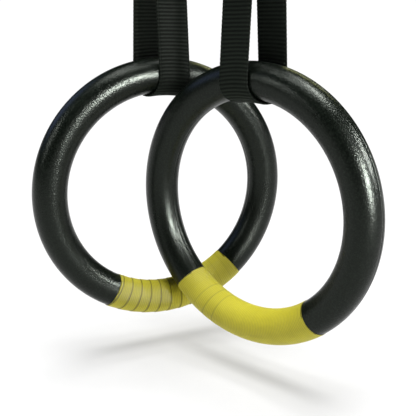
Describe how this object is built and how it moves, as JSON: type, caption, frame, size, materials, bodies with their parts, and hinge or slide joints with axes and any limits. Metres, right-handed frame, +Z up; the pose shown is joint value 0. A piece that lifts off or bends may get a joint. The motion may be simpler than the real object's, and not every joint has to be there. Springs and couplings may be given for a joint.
{
  "type": "gymnastics rings",
  "caption": "Pair of taped hand rings, each hung in a webbing loop with a cam buckle from a swivel on a ceiling plate.",
  "frame": {"origin": "middle of the ceiling plate's top face, which lies against the ceiling", "axes": "+Z up, out of the plate's top face; +X along the plate from the left ring's swivel to the right one's; -Y the front, the side the buckles are on"},
  "size_m": [0.2802, 0.2154, 0.5087],
  "materials": {
    "ring_plastic": "moulded black plastic with a fine leather grain, satin",
    "tape_cloth": "yellow woven cotton tape, matt",
    "webbing_nylon": "black ribbed nylon webbing",
    "zinc_steel": "bright zinc plating",
    "black_steel": "black powder coat",
    "washer_nylon": "natural nylon"
  },
  "bodies": {
    "mount": {"ceiling_plate": "zinc_steel", "swivel_hub_left": "zinc_steel", "swivel_hub_right": "zinc_steel"},
    "swivel_left": {"thrust_washer_left": "washer_nylon", "swivel_yoke_left": "zinc_steel", "crossbar_bolt_left": "zinc_steel", "crossbar_nut_left": "zinc_steel"},
    "strap_left": {"strap_webbing_left": "webbing_nylon", "strap_keeper_left": "webbing_nylon", "buckle_frame_left": "black_steel", "cam_pin_left": "zinc_steel", "cam_spring_left": "zinc_steel"},
    "cam_left": {"cam_lever_left": "black_steel"},
    "ring_left": {"ring_front_left": "ring_plastic", "ring_back_left": "ring_plastic", "grip_tape_left": "tape_cloth"},
    "swivel_right": {"thrust_washer_right": "washer_nylon", "swivel_yoke_right": "zinc_steel", "crossbar_bolt_right": "zinc_steel", "crossbar_nut_right": "zinc_steel"},
    "strap_right": {"strap_webbing_right": "webbing_nylon", "strap_keeper_right": "webbing_nylon", "buckle_frame_right": "black_steel", "cam_pin_right": "zinc_steel", "cam_spring_right": "zinc_steel"},
    "cam_right": {"cam_lever_right": "black_steel"},
    "ring_right": {"ring_front_right": "ring_plastic", "ring_back_right": "ring_plastic", "grip_tape_right": "tape_cloth"}
  },
  "joints": [
    {"name": "swivel_turn_left", "type": "hinge", "parent": "mount", "child": "swivel_left", "pos_m": [-0.0495, 0, 0], "axis": [0, 0, 1], "range_deg": [-6, 70]},
    {"name": "strap_swing_left", "type": "hinge", "parent": "swivel_left", "child": "strap_left", "pos_m": [-0.0495, 0, -0.06], "axis": [0.454, 0.891, 0], "range_deg": [0, 75]},
    {"name": "cam_press_left", "type": "hinge", "parent": "strap_left", "child": "cam_left", "pos_m": [-0.03003, -0.00481, -0.17476], "axis": [0.454, 0.891, 0], "range_deg": [0, 18], "stiffness_Nm_per_rad": 0.05, "springref_deg": -22.92},
    {"name": "ring_spin_left", "type": "hinge", "parent": "strap_left", "child": "ring_left", "pos_m": [-0.0495, 0, -0.389], "axis": [0.891, -0.454, 0], "continuous": true},
    {"name": "swivel_turn_right", "type": "hinge", "parent": "mount", "child": "swivel_right", "pos_m": [0.0495, 0, 0], "axis": [0, 0, 1], "range_deg": [-4, 95]},
    {"name": "strap_swing_right", "type": "hinge", "parent": "swivel_right", "child": "strap_right", "pos_m": [0.0495, 0, -0.06], "axis": [0.9994, -0.0349, 0], "range_deg": [-75, 0]},
    {"name": "cam_press_right", "type": "hinge", "parent": "strap_right", "child": "cam_right", "pos_m": [0.04392, -0.01935, -0.17476], "axis": [0.9994, -0.0349, 0], "range_deg": [0, 18], "stiffness_Nm_per_rad": 0.05, "springref_deg": -22.92},
    {"name": "ring_spin_right", "type": "hinge", "parent": "strap_right", "child": "ring_right", "pos_m": [0.0495, 0, -0.389], "axis": [-0.0349, -0.9994, 0], "continuous": true}
  ]
}
